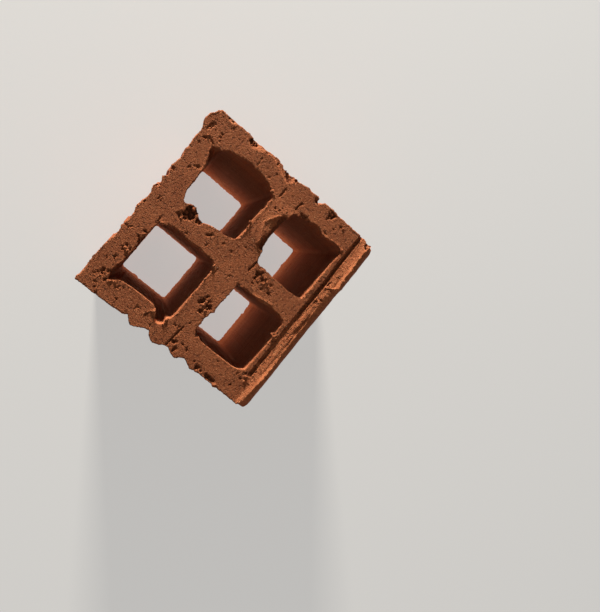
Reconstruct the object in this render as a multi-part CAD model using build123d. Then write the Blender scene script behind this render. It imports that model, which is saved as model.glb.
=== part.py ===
# Half-length hollow clay brick: one extruded, wire-cut and fired piece of terracotta.
#
# The brick stands on one cut end. The origin is the middle of that end, Z runs up along
# the direction in which the clay left the die, X and Y run across the square section.
# All sizes are millimetres.
import os

from build123d import *

# Overall size of the fired brick
section_width = 80.0
section_depth = 80.0
brick_length = 90.0

# Shell and cross webs round the four cells
shell_thickness = 9.4
web_thickness = 9.6
outer_corner_radius = 1.8
cell_corner_radius = 1.4

# Plaster key: round-bottomed grooves that the die leaves along the middle of every side
groove_count = 5
groove_pitch = 8.2
groove_width = 5.4
groove_depth = 2.2
rib_edge_radius = 0.5

# Drag of the cutting wire at the top end of the +X side. A crease splits the outer skin
# from the cut face. The skin outside it is rolled over the side and hangs like a curtain
# over the ends of the grooves. The rims of the two cells beside it lean over the cells.
lip_width = 7.7
lip_roll_width = 3.8
lip_roll_height = 7.6
curtain_height = 4.0
crease_width = 1.5
crease_depth = 3.2
rim_lean = 1.9
rim_lean_height = 10.0


def cell_size(section, wall, web):
    """Width of one of the two cells that share a section with two walls and a web."""
    return (section - 2 * wall - web) / 2


cell_width = cell_size(section_width, shell_thickness, web_thickness)
cell_depth = cell_size(section_depth, shell_thickness, web_thickness)
cell_step_x = cell_width + web_thickness
cell_step_y = cell_depth + web_thickness

# A groove is a shallow circular arc through its two edges and its bottom
groove_radius = (groove_width**2 / 4 + groove_depth**2) / (2 * groove_depth)
groove_centre_out = groove_radius - groove_depth


def side_outline():
    """Square die outline with rounded corners, before the grooves."""
    with BuildSketch() as outline:
        RectangleRounded(section_width, section_depth, outer_corner_radius)
    return outline.sketch


def grooved_outline():
    """The die outline with the plaster-key grooves on all four sides."""
    with BuildSketch() as outline:
        add(side_outline())
        for side in (-1, 1):
            with Locations((0, side * (section_depth / 2 + groove_centre_out))):
                with GridLocations(groove_pitch, 1, groove_count, 1):
                    Circle(groove_radius, mode=Mode.SUBTRACT)
            with Locations((side * (section_width / 2 + groove_centre_out), 0)):
                with GridLocations(1, groove_pitch, 1, groove_count):
                    Circle(groove_radius, mode=Mode.SUBTRACT)
        mouths = [vertex for vertex in outline.vertices() if on_groove_mouth(vertex)]
        fillet(mouths, rib_edge_radius)
    return outline.sketch


def on_groove_mouth(vertex):
    """A sharp rib edge, as against an end of one of the four corner arcs."""
    reach = (groove_count - 1) / 2 * groove_pitch + groove_width / 2 + rib_edge_radius
    return min(abs(vertex.X), abs(vertex.Y)) < reach


def cells():
    """Outline of the four square cells."""
    with BuildSketch() as openings:
        with GridLocations(cell_step_x, cell_step_y, 2, 2):
            RectangleRounded(cell_width, cell_depth, cell_corner_radius)
    return openings.sketch


def groove_end():
    """Round end of the middle groove of the +X side: half its profile, turned all round."""
    with BuildSketch() as half:
        with Locations((section_width / 2, 0)):
            Rectangle(groove_depth, groove_pitch / 2, align=(Align.MAX, Align.MIN))
        add(grooved_outline(), mode=Mode.SUBTRACT)
    return revolve(half.sketch, Axis.X)


def curtain():
    """Clay that fills the grooves of the +X side above their round upper ends."""
    arch_centre = brick_length - curtain_height - groove_width / 2
    round_end = groove_end()
    with BuildPart() as skin:
        with Locations((section_width / 2, 0, arch_centre)):
            Box(
                groove_depth,
                groove_pitch * groove_count,
                brick_length - arch_centre,
                align=(Align.MAX, Align.CENTER, Align.MIN),
            )
        with Locations((0, 0, arch_centre)):
            with GridLocations(1, groove_pitch, 1, groove_count):
                add(round_end, mode=Mode.SUBTRACT)
    return skin.part


def leaning_rims():
    """Wedges on the inner side of the +X shell, where the wire pushed the rims inwards."""
    wall = section_width / 2 - shell_thickness
    with BuildSketch(Plane.XZ) as wedge:
        with BuildLine():
            Polyline(
                (wall - rim_lean, brick_length),
                (wall, brick_length - rim_lean_height),
                (wall + shell_thickness / 4, brick_length - rim_lean_height),
                (wall + shell_thickness / 4, brick_length),
                close=True,
            )
        make_face()
    across = section_depth / 2 - shell_thickness
    return extrude(wedge.sketch, amount=across, both=True)


def wire_drag():
    """What the wire took off the +X top edge, drawn in XZ and run across the whole side."""
    side = section_width / 2
    lip_inner = side - lip_width
    above = brick_length + crease_depth
    with BuildSketch(Plane.XZ) as drag:
        # the crease, a V with a steep inner flank
        with BuildLine():
            Polyline(
                (lip_inner - crease_width, above),
                (lip_inner - crease_width, brick_length),
                (lip_inner - crease_width / 2, brick_length - crease_depth),
                (lip_inner, brick_length),
                (lip_inner, above),
                close=True,
            )
        make_face()
        # all that lies above and outside the rolled lip, which is a quarter of an ellipse
        with Locations((side - lip_roll_width, brick_length - lip_roll_height)):
            Rectangle(2 * lip_roll_width, 2 * lip_roll_height, align=Align.MIN)
        with Locations((side - lip_roll_width, brick_length - lip_roll_height)):
            Ellipse(lip_roll_width, lip_roll_height, mode=Mode.SUBTRACT)
    return extrude(drag.sketch, amount=section_depth, both=True)


def clay_brick():
    """The whole brick, one solid."""
    column = extrude(grooved_outline() - cells(), amount=brick_length)
    return column + curtain() + leaning_rims() - wire_drag()


os.makedirs("parts", exist_ok=True)
brick = clay_brick().solid()
brick.label = "clay_brick"
export_step(brick, "parts/clay_brick.step")

print("cell", round(cell_width, 2), "x", round(cell_depth, 2))
print("volume cm3", round(brick.volume / 1000, 1))
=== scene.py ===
# %% [markdown]
# # A half-length hollow clay brick
#
# This lesson dresses one brick of fired clay: a square column with four square cells, squeezed
# out of a die, cut through with a wire while it was soft, and fired. What makes such a brick
# look real is not its section, which is plain, but what the wire did to it: torn rims, smears,
# pits and a skin that was dragged along. So most of this file makes torn clay.
#
# Lengths are millimetres until they reach Blender, and places are measured from the middle of
# the end on which the brick stands.

# %% Open the frame
import math

import bpy
import numpy as np
from mathutils import Matrix, Vector, geometry, kdtree, noise


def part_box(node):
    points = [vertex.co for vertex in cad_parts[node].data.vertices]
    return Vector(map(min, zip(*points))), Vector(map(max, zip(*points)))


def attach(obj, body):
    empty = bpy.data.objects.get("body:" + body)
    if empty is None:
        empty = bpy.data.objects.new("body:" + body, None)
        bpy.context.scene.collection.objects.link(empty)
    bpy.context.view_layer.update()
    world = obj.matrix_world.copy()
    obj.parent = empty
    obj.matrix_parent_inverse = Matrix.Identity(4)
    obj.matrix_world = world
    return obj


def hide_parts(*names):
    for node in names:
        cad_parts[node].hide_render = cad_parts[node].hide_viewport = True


MM = 0.001
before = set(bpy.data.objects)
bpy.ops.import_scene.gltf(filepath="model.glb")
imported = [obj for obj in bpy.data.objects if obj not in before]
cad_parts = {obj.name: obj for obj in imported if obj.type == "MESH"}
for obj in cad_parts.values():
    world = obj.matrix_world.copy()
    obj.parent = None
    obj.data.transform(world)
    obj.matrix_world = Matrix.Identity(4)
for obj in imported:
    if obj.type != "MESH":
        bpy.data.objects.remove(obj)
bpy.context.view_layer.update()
low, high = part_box("clay_brick")
SECTION = (high.x - low.x) / MM
LENGTH = (high.z - low.z) / MM
HALF = SECTION / 2
print("brick", round(SECTION, 1), "mm square,", round(LENGTH, 1), "mm long")

# %% [markdown]
# ## The camera
#
# The photograph looks down into the cells from just off the brick's axis. A camera can be placed
# by trial, or worked out from the perspective of the cut face and of the far ends of the cells,
# as was done here. Two values are easy to read in the result: where the camera hangs over the
# brick, and which way along the cut face points up in the picture.

# %% Camera
CAMERA_AT = Vector((-29.8, -14.4, 331.0))
AIM_AT = Vector((29.8, 4.2, 90.0))
PICTURE_UP = math.radians(130.5)
# the photograph's height and focal length in its own pixels, and a sensor to turn them into mm
PHOTO_HEIGHT_PX = 612
FOCAL_PX = 650
SENSOR = 36.0


def place_camera():
    """A camera without shift, turned so that PICTURE_UP points up in the picture."""
    data = bpy.data.cameras.new("photograph_camera")
    data.sensor_width = SENSOR
    data.lens = FOCAL_PX / PHOTO_HEIGHT_PX * SENSOR
    back = (CAMERA_AT - AIM_AT).normalized()
    up_hint = Vector((math.cos(PICTURE_UP), math.sin(PICTURE_UP), 0))
    right = up_hint.cross(back).normalized()
    up = back.cross(right)
    camera = bpy.data.objects.new("photograph_camera", data)
    turn = Matrix((right, up, back)).transposed().to_4x4()
    camera.matrix_world = Matrix.Translation(CAMERA_AT * MM) @ turn
    bpy.context.collection.objects.link(camera)
    bpy.context.scene.camera = camera
    return camera


camera = place_camera()
print("lens", round(camera.data.lens, 1), "mm")

# %% [markdown]
# ## Noise for torn clay
#
# Torn clay is noise of several sizes on top of each other. Blender's `noise` module gives smooth
# random values that are the same on every run, so nothing has to be stored. Two helpers are
# enough: one that samples it at many points, and a soft step that blends from 0 to 1. On a flat
# face the third coordinate is free. Each layer of relief gives it a number of its own, which
# takes another slice through the noise, so that no two layers look alike.

# %% Noise helpers
# each octave has lumps this many times smaller than the one before
OCTAVE_STEP = 2.1


def clay_noise(x, y, z, size, octaves=3, calm=0.9):
    """Smooth noise, about -1 to 1, at each point. Size is the width of its lumps in mm, and a
    smaller calm gives its finer octaves more weight."""
    x, y, z = np.broadcast_arrays(np.asarray(x, float), y, z)
    flat = zip(x.ravel() / size, y.ravel() / size, z.ravel() / size)
    values = [noise.fractal(point, calm, OCTAVE_STEP, octaves) for point in flat]
    return np.array(values).reshape(x.shape)


def soft_step(value):
    """0 below 0, 1 above 1, and a smooth blend between."""
    clipped = np.clip(value, 0.0, 1.0)
    return clipped * clipped * (3.0 - 2.0 * clipped)


print("noise sample", np.round(clay_noise([0.3, 4.0], 1.2, 0.0, 2.0), 3))

# %% [markdown]
# ## The section that the die gave
#
# The clay leaves the die as a square with rounded corners. Each side has five round-bottomed
# grooves along its middle, which give mortar and plaster a hold, and the four cells leave a
# shell and two webs. The outline is walked round once at even steps, because even steps give
# even faces. Each step keeps its place, the direction that points out of the clay and how far
# it is from the middle of a groove, so that later cells can end a groove or tear a rim.

# %% Sizes of the section
SHELL = 9.4
WEB = 9.6
OUTER_RADIUS = 1.8
CELL_RADIUS = 1.4
CELL = (SECTION - 2 * SHELL - WEB) / 2
CELL_CENTRE = (CELL + WEB) / 2
# the cells lie a little off the middle, towards +Y
CELL_DRIFT = 0.5
print("cells", round(CELL, 1), "mm wide,", round(2 * CELL_CENTRE, 1), "mm apart")

# %% Grooves
GROOVES = 5
GROOVE_PITCH = 8.2
GROOVE_WIDTH = 5.4
GROOVE_DEPTH = 2.2
RIB_ROUNDING = 0.35
# stands for a distance where there is nothing near
FAR_AWAY = 99.0

groove_radius = (GROOVE_WIDTH**2 / 4 + GROOVE_DEPTH**2) / (2 * GROOVE_DEPTH)


def groove_depth(distance):
    """Depth of a round groove at a distance from its middle, with softened edges."""
    arc = np.sqrt(np.clip(groove_radius**2 - distance**2, 0, None))
    level = arc - (groove_radius - GROOVE_DEPTH) - np.clip(distance - groove_radius, 0, None)
    return (level + np.sqrt(level**2 + RIB_ROUNDING**2)) / 2


def nearest_groove(u):
    """Distance from the nearest groove, for each distance u from the middle of a side."""
    middles = (np.arange(GROOVES) - (GROOVES - 1) / 2) * GROOVE_PITCH
    return np.abs(u[:, None] - middles).min(axis=1)


print("radius of a groove", round(groove_radius, 2), "mm")

# %% Walk round the section
STEP = 0.45
# samples with which a grooved side is measured along its surface
SAMPLES = 4000
# the share of its radius by which a corner may be pushed inwards
CORNER_ROOM = 0.75


def even_side(half_straight, grooved):
    """Places along one straight side, at even steps along its surface, and their distance
    from the nearest groove."""
    u = np.linspace(-half_straight, half_straight, SAMPLES)
    distance = nearest_groove(u) if grooved else np.full_like(u, FAR_AWAY)
    depth = groove_depth(distance)
    walked = np.concatenate([[0], np.cumsum(np.hypot(np.diff(u), np.diff(depth)))])
    count = max(2, round(walked[-1] / STEP))
    stations = np.interp(np.arange(count) / count * walked[-1], walked, u)
    return stations, nearest_groove(stations) if grooved else np.full(count, FAR_AWAY)


def square_loop(centre, half, radius, grooved=False):
    """A rounded square, anticlockwise: places, outward directions, distances from a groove,
    and how far each place may be pushed inwards before its corner folds over itself."""
    places, outward, distances, room = [], [], [], []
    straight = half - radius
    stations, distance = even_side(straight, grooved)
    corner_steps = max(3, round(radius * math.pi / 2 / STEP))
    for quarter in range(4):
        turn = quarter * math.pi / 2
        along = np.array([-math.sin(turn), math.cos(turn)])
        out = np.array([math.cos(turn), math.sin(turn)])
        places.append(out * half + np.outer(stations, along))
        outward.append(np.tile(out, (len(stations), 1)))
        distances.append(distance)
        room.append(np.full(len(stations), straight))
        angles = turn + np.arange(corner_steps) / corner_steps * math.pi / 2
        spokes = np.stack([np.cos(angles), np.sin(angles)], axis=1)
        places.append((out + along) * straight + spokes * radius)
        outward.append(spokes)
        distances.append(np.full(corner_steps, FAR_AWAY))
        room.append(np.full(corner_steps, CORNER_ROOM * radius))
    loop = [np.concatenate(part) for part in (places, outward, distances, room)]
    return loop[0] + centre, *loop[1:]


skin = square_loop((0, 0), HALF, OUTER_RADIUS, grooved=True)
cells = {}
for cell_name, (side_x, side_y) in {
    "left_back": (-1, 1),
    "right_back": (1, 1),
    "left_front": (-1, -1),
    "right_front": (1, -1),
}.items():
    middle = (side_x * CELL_CENTRE, side_y * CELL_CENTRE + CELL_DRIFT)
    places, outward, distances, room = square_loop(middle, CELL / 2, CELL_RADIUS)
    cells[cell_name] = (places, -outward, distances, room)
loops = {"skin": skin, **cells}
print("steps round the skin", len(skin[0]), "and round a cell", len(cells["left_back"][0]))

# %% [markdown]
# ## Torn rims
#
# A wire does not leave clean rims. It drags clay over the edge of a cell, where it hangs like a
# small shelf, and it breaks lumps out of it. The rims of the cut face were followed in the
# photograph, place by place, and each wall starts at such an outline and settles into the
# clean section with depth. The far end of the brick, which no picture shows, gets small tears
# from a seeded random draw.

# %% Outlines of the cut face
OUTLINES = {
    "left_back": [
        (-33.6, 27.8), (-32.6, 28.1), (-31.5, 28.5), (-30.0, 29.0), (-29.0, 29.6), (-28.2, 30.3),
        (-27.0, 30.9), (-26.0, 31.3), (-24.0, 31.7), (-22.0, 32.1), (-20.5, 32.4), (-19.0, 32.8),
        (-18.0, 32.7), (-17.0, 32.4), (-14.0, 32.3), (-12.0, 32.2), (-11.0, 31.7), (-9.0, 31.4),
        (-8.2, 30.8), (-7.0, 30.2), (-5.6, 29.6), (-4.9, 28.6), (-4.8, 26.0), (-4.5, 24.0),
        (-4.6, 23.0), (-5.0, 21.5), (-5.0, 19.0), (-5.1, 17.2), (-4.7, 15.0), (-4.6, 12.5),
        (-4.8, 10.0), (-5.0, 8.4), (-5.5, 7.4), (-7.2, 6.8), (-9.2, 6.1), (-12.0, 5.9),
        (-14.0, 5.8), (-16.0, 5.4), (-17.2, 4.9), (-18.2, 4.4), (-19.5, 4.6), (-20.8, 4.9),
        (-21.4, 5.6), (-22.1, 6.3), (-23.2, 6.9), (-24.3, 7.3), (-25.2, 7.0), (-26.2, 6.5),
        (-27.4, 5.7), (-28.2, 5.9), (-28.8, 6.1), (-29.2, 7.2), (-29.6, 8.2), (-30.1, 9.4),
        (-30.2, 12.0), (-30.1, 14.0), (-30.4, 17.0), (-30.3, 20.0), (-31.0, 22.0), (-31.9, 24.0),
        (-32.7, 25.0), (-33.3, 26.6),
    ],
    "right_back": [
        (5.6, 29.2), (6.6, 29.8), (8.0, 30.2), (10.0, 30.4), (12.0, 30.8), (13.5, 31.6),
        (16.0, 31.9), (17.6, 31.3), (18.6, 30.4), (20.5, 30.3), (22.0, 30.7), (24.0, 31.0),
        (26.0, 31.2), (27.6, 30.8), (28.6, 30.4), (29.1, 29.4), (28.8, 27.5), (28.6, 24.0),
        (28.7, 20.0), (28.6, 16.8), (28.8, 13.0), (28.7, 10.0), (28.8, 8.0), (28.4, 6.6),
        (26.0, 5.9), (22.0, 5.6), (18.0, 5.8), (14.0, 5.9), (12.6, 5.9), (11.0, 6.1),
        (9.8, 6.2), (8.5, 6.0), (7.4, 6.1), (6.4, 6.3), (6.0, 7.2), (5.8, 8.4),
        (5.4, 10.0), (5.1, 12.0), (4.7, 14.0), (4.4, 16.0), (4.4, 20.0), (4.6, 24.0),
        (4.8, 26.0), (5.2, 28.0),
    ],
    "left_front": [
        (-30.3, -5.0), (-29.8, -5.5), (-29.2, -5.8), (-28.6, -5.6), (-27.6, -4.9), (-26.8, -4.1),
        (-25.0, -3.7), (-22.0, -3.3), (-20.0, -3.4), (-19.2, -3.9), (-17.0, -4.1), (-15.0, -3.7),
        (-13.4, -3.4), (-11.0, -3.8), (-9.0, -3.8), (-7.0, -3.8), (-5.7, -4.6), (-4.8, -6.2),
        (-4.5, -8.0), (-4.6, -10.0), (-4.6, -12.0), (-4.4, -15.0), (-4.6, -18.0), (-4.5, -23.0),
        (-4.5, -28.0), (-4.8, -30.2), (-6.0, -30.8), (-6.2, -32.0), (-5.6, -33.2), (-6.6, -34.1),
        (-7.7, -34.6), (-9.5, -34.4), (-10.3, -33.8), (-10.4, -32.0), (-11.2, -30.6), (-13.0, -30.1),
        (-18.0, -30.0), (-24.0, -30.1), (-27.0, -30.4), (-28.0, -31.0), (-29.2, -31.7), (-30.0, -33.0),
        (-31.0, -33.4), (-31.4, -31.8), (-32.2, -30.4), (-32.2, -28.4), (-31.6, -26.6), (-31.0, -24.5),
        (-31.1, -21.0), (-31.0, -17.5), (-31.6, -15.0), (-30.9, -12.5), (-30.5, -9.5), (-30.3, -7.0),
    ],
    "right_front": [
        (5.9, -4.3), (7.2, -4.6), (8.6, -4.3), (12.0, -4.1), (16.0, -4.3), (19.0, -4.0),
        (21.5, -3.3), (25.0, -3.6), (28.0, -4.2), (28.9, -5.6), (29.0, -9.0), (29.4, -12.0),
        (29.3, -18.0), (29.1, -24.0), (28.9, -27.6), (27.8, -28.6), (26.4, -29.4), (24.0, -29.9),
        (16.0, -30.0), (12.0, -29.9), (8.6, -29.7), (7.6, -29.2), (6.6, -29.7), (5.9, -29.4),
        (5.2, -28.0), (4.6, -26.4), (4.8, -24.5), (4.6, -23.0), (5.1, -20.0), (5.7, -18.2),
        (5.6, -14.0), (5.8, -11.5), (6.0, -9.0), (5.9, -6.0),
    ],
    "skin": [
        (-40.1, 37.8), (-40.8, 37.2), (-41.6, 36.4), (-41.7, 34.5), (-41.6, 33.0), (-41.0, 31.9),
        (-40.3, 31.0), (-39.9, 29.0), (-40.3, 27.0), (-39.9, 24.0), (-39.6, 22.0), (-40.1, 20.5),
        (-39.2, 19.2), (-39.2, 17.0), (-39.6, 14.5), (-40.0, 13.0), (-39.3, 11.8), (-38.6, 10.3),
        (-38.6, 9.2), (-39.4, 8.4), (-39.8, 7.6), (-39.0, 6.6), (-38.8, 5.6), (-39.6, 4.6),
        (-40.2, 3.4), (-39.8, 2.0), (-39.2, 0.5), (-39.1, -1.5), (-39.6, -3.5), (-40.2, -6.0),
        (-39.2, -8.5), (-38.9, -12.0), (-39.7, -14.8), (-38.9, -17.0), (-39.0, -19.5), (-39.8, -23.0),
        (-39.9, -28.0), (-40.2, -29.5), (-39.8, -33.0), (-39.5, -37.0), (-40.3, -39.0), (-39.8, -40.1),
        (-38.0, -39.9), (-30.0, -39.9), (-24.0, -39.8), (-20.5, -39.3), (-18.8, -39.0), (-17.7, -38.5),
        (-16.6, -39.6), (-15.5, -40.6), (-14.5, -41.2), (-13.2, -40.5), (-11.5, -39.4), (-9.6, -38.6),
        (-8.2, -38.4), (-7.3, -39.6), (-6.2, -40.5), (-5.0, -41.0), (-3.6, -40.8), (-2.0, -40.1),
        (0.0, -39.0), (1.0, -38.8), (2.4, -39.6), (3.6, -40.3), (4.8, -40.8), (6.2, -39.9),
        (7.2, -39.1), (8.2, -38.6), (9.6, -38.9), (10.8, -39.7), (12.4, -40.3), (14.0, -39.9),
        (16.0, -39.7), (18.0, -39.8), (22.0, -39.9), (23.4, -40.2), (25.0, -39.9), (30.0, -39.9),
        (34.6, -40.0), (35.2, -39.6), (35.6, -38.0), (35.8, -35.0), (36.0, -31.0), (36.5, -26.0),
        (36.8, -21.0), (36.6, -14.0), (36.3, -6.0), (36.1, 0.0), (35.9, 8.0), (36.0, 13.0),
        (36.3, 16.4), (37.1, 18.2), (36.7, 20.4), (36.4, 24.5), (36.4, 27.5), (36.0, 31.5),
        (35.9, 35.5), (35.9, 37.3), (36.2, 38.4), (36.3, 39.2), (35.8, 39.9), (33.0, 40.3),
        (28.0, 40.3), (20.5, 40.3), (19.2, 40.0), (18.2, 40.3), (16.2, 40.7), (14.0, 40.4),
        (12.2, 40.6), (11.4, 39.8), (10.9, 39.0), (10.4, 38.5), (9.9, 38.9), (9.3, 40.0),
        (8.4, 40.5), (6.0, 40.3), (3.5, 40.5), (1.0, 39.9), (-1.0, 39.5), (-2.6, 39.8),
        (-3.4, 39.8), (-4.6, 39.2), (-5.8, 39.5), (-8.2, 40.1), (-10.6, 40.4), (-11.6, 40.9),
        (-13.0, 40.9), (-16.0, 40.4), (-20.0, 40.3), (-22.0, 40.1), (-24.4, 40.4), (-28.5, 40.5),
        (-33.0, 40.3), (-39.2, 40.2), (-40.0, 39.0),
    ],
}
print("places by eye", sum(map(len, OUTLINES.values())))

# %% Lumps and nicks in the rims
# x and y, half width, how far it hangs over the air and how deep it goes; a minus is a nick
TEARS = {
    "left_back": [
        (-6.3, 30.0, 0.8, 0.7, 0.8), (-5.0, 16.0, 1.0, 1.3, 0.8), (-4.9, 13.9, 0.8, 1.0, 0.7),
        (-8.0, 31.0, 0.5, 0.3, 0.6), (-30.0, 29.0, 0.9, 0.4, 0.8),
    ],
    "right_back": [
        (7.0, 29.9, 0.9, 0.4, 0.8), (28.7, 30.9, 0.8, 0.6, 0.8), (11.0, 30.6, 0.6, -0.4, 0.8),
    ],
    "left_front": [
        (-5.2, -5.6, 0.8, 0.8, 0.8), (-4.5, -11.1, 0.8, 0.7, 0.7), (-30.6, -20.0, 1.0, 0.3, 0.8),
        (-30.2, -9.0, 0.7, -0.4, 0.8), (-31.0, -33.3, 0.7, 0.5, 0.7),
    ],
    "right_front": [
        (7.6, -5.0, 0.7, 0.6, 0.8), (7.4, -29.3, 0.7, 0.5, 0.8), (29.2, -10.8, 1.4, 1.7, 1.1),
        (5.7, -18.4, 0.8, 0.5, 0.6), (4.8, -22.2, 0.7, -0.4, 0.6),
    ],
    "skin": [
        (-39.6, 7.8, 0.6, 0.4, 0.6), (23.4, -40.0, 0.9, 0.5, 0.8), (-26.5, 40.4, 0.6, 0.3, 0.5),
    ],
}

# the same for the far end, as the ranges of a random draw
FAR_WIDTHS = (0.7, 3.2)
FAR_PUSHES = (-0.45, 0.25)
FAR_REACHES = (0.8, 2.5)
FAR_TEARS_ROUND_CELL = 14
FAR_TEARS_ROUND_SKIN = 46


def random_tears(loop, count, seed):
    """Small seeded tears round one loop, for the end that the photograph does not show."""
    draw = np.random.default_rng(seed)
    tears = []
    for place in loop[0][draw.integers(0, len(loop[0]), count)]:
        width = draw.uniform(*FAR_WIDTHS)
        push = draw.uniform(*FAR_PUSHES) * width**0.7
        tears.append((*place, width, push, draw.uniform(*FAR_REACHES)))
    return tears


FAR_TEARS = {
    name: random_tears(loop, FAR_TEARS_ROUND_CELL, seed)
    for seed, (name, loop) in enumerate(cells.items())
}
FAR_TEARS["skin"] = random_tears(skin, FAR_TEARS_ROUND_SKIN, seed=7)
print("tears by eye", sum(map(len, TEARS.values())), "and drawn", sum(map(len, FAR_TEARS.values())))

# %% From the section to an outline
# an outline is filled up with places at this distance, so that its lines stay straight
OUTLINE_STEP = 0.2


def polar(points, centre):
    """Direction and distance of points as seen from a centre."""
    dx, dy = (np.asarray(points, float) - centre).T
    return np.arctan2(dy, dx), np.hypot(dx, dy)


def along_line(line, spacing):
    """Places at even steps along a line of places."""
    line = np.asarray(line, float)
    walked = np.concatenate([[0], np.cumsum(np.hypot(*np.diff(line, axis=0).T))])
    stations = np.arange(0, walked[-1], spacing)
    return np.column_stack([np.interp(stations, walked, axis) for axis in line.T])


def carry_to_outline(places, outline):
    """Moves that carry each place straight away from the middle, or towards it, to an outline."""
    centre = (places.min(axis=0) + places.max(axis=0)) / 2
    angle, distance = polar(along_line(outline + outline[:1], OUTLINE_STEP), centre)
    order = np.argsort(angle)
    place_angle, place_distance = polar(places, centre)
    wanted = np.interp(place_angle, angle[order], distance[order], period=2 * math.pi)
    return (places - centre) * (wanted / place_distance - 1)[:, None]


carries = {name: carry_to_outline(loop[0], OUTLINES[name]) for name, loop in loops.items()}
for name, carry in carries.items():
    print(name, "moves by up to", round(float(np.hypot(*carry.T).max()), 1), "mm")

# %% [markdown]
# ## Where the grooves end
#
# The wire closes the mouths of the grooves. On three sides it only smears them; on the +X side
# it rolls a curtain of clay over them, and they end under it in round arches. An arch is easy:
# near its end, the distance from the middle of the groove also counts the way up to the end,
# as it does for a ball-ended cutter.

# %% Ends of the grooves
# how far below the cut face the grooves of each side end; with a minus they run out through it
CURTAINS = {"+x": 4.0, "+y": 0.9, "-x": 0.3, "-y": -0.7}
FAR_CURTAIN = -1.0
CURTAIN_SPREAD = 1.0
# a place belongs to a side when it faces that way at least this squarely
FACING = 0.9


def groove_push(loop, depth):
    """How far the grooves cut into the skin at one depth, with their closed ends."""
    places, out, distances, _ = loop
    x, y = places.T
    sides = [out[:, 0] > FACING, out[:, 1] > FACING, out[:, 0] < -FACING, out[:, 1] < -FACING]
    curtain = np.select(sides, list(CURTAINS.values()), 0.0)
    curtain = curtain + CURTAIN_SPREAD * clay_noise(x, y, 30.0, 9.0, 2)
    far_curtain = FAR_CURTAIN + 2 * CURTAIN_SPREAD * clay_noise(x, y, 90.0, 9.0, 2)
    above = np.clip(curtain + groove_radius - depth, 0, None)
    below = np.clip(far_curtain + groove_radius - (LENGTH - depth), 0, None)
    return -groove_depth(np.hypot(distances, np.maximum(above, below)))


print("deepest groove halfway down", round(float(-groove_push(skin, LENGTH / 2).min()), 2), "mm")

# %% [markdown]
# ## From the rims down the walls
#
# With depth the torn outline gives way to the clean section. In a cell that takes a centimetre,
# and longer below a large chip. The skin settles sooner, apart from the +X side: there the roll
# that the wire left is nearly a quarter of an ellipse, which keeps more of the outline. Close to
# both ends the walls are ragged, and everywhere they carry fine lines along the clay's way
# through the die, which is noise drawn out along the height.

# %% One ring of a wall
# how deep the torn outline of a cell reaches, and how much deeper below a large chip
MOUTH_REACH = 11.0
CHIP_REACH = 22.0
# a rim carried this far starts to be a chip, and this much farther it is a large one
CHIP_FROM = 1.5
CHIP_SPAN = 2.5
# the same for the skin, and the height and shape of the roll on its +X side
SKIN_REACH = 2.6
ROLL_HEIGHT = 7.6
ROLL_POWER = 1.7
# strengths of the noise, and how far the ragged part of it reaches from each end
RAGGED = 0.26
RAGGED_REACH = 1.2
FAR_RAGGED = 0.8
DRAG_LINES = 0.05
WAVINESS = 0.15


def tear_push(places, tears, depth):
    """The push of all tears of one rim at each place, at one depth below that rim."""
    push = np.zeros(len(places))
    for x, y, half_width, amount, reach in tears:
        away = np.hypot(places[:, 0] - x, places[:, 1] - y) / half_width
        shape = 0.5 + 0.5 * np.cos(math.pi * np.clip(away, 0, 1))
        push += amount * shape**1.2 * math.exp(-((depth / reach) ** 2))
    return push


def outline_share(name, out, depth):
    """How much of the outline of the cut face is left at a depth, from 1 down to 0. A large chip
    reaches deeper into a cell than a shallow one."""
    if name != "skin":
        chip = soft_step((np.hypot(*carries[name].T) - CHIP_FROM) / CHIP_SPAN)
        return np.exp(-((depth / (MOUTH_REACH + CHIP_REACH * chip)) ** 1.5))
    settled_share = math.exp(-((depth / SKIN_REACH) ** 2))
    up_the_roll = max(0.0, 1 - depth / ROLL_HEIGHT)
    rolled_share = 1 - (1 - up_the_roll**ROLL_POWER) ** (1 / ROLL_POWER)
    on_roll = soft_step((out[:, 0] - 0.3) / 0.6)
    return settled_share + (rolled_share - settled_share) * on_roll


def wall_ring(name, loop, depth):
    """Places of one loop at a depth below the cut face, with tears, drag lines and waves."""
    places, out, _, room = loop
    x, y = places.T
    height = LENGTH - depth
    share = outline_share(name, out, depth)
    push = groove_push(loop, depth) * (1 - share)
    push += tear_push(places + carries[name], TEARS[name], depth)
    push += tear_push(places, FAR_TEARS[name], height)
    rim = math.exp(-depth / RAGGED_REACH) + FAR_RAGGED * math.exp(-height / RAGGED_REACH)
    push += RAGGED * rim * clay_noise(x, y, height * 0.8, 1.2, 4, calm=0.3)
    push += DRAG_LINES * clay_noise(x, y, height * 0.012, 0.9, 2)
    push += WAVINESS * clay_noise(x, y, height * 0.5, 16.0, 2) * (1 - rim)
    to_middle = -1 if name == "skin" else 1
    push = to_middle * np.minimum(to_middle * push, room)
    return places + carries[name] * share[:, None] + out * push[:, None]


top_rims = {name: wall_ring(name, loop, 0.0) for name, loop in loops.items()}
bottom_rims = {name: wall_ring(name, loop, LENGTH) for name, loop in loops.items()}
print("widest reach of the cut face", np.round(np.ptp(top_rims["skin"], axis=0), 2))
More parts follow.
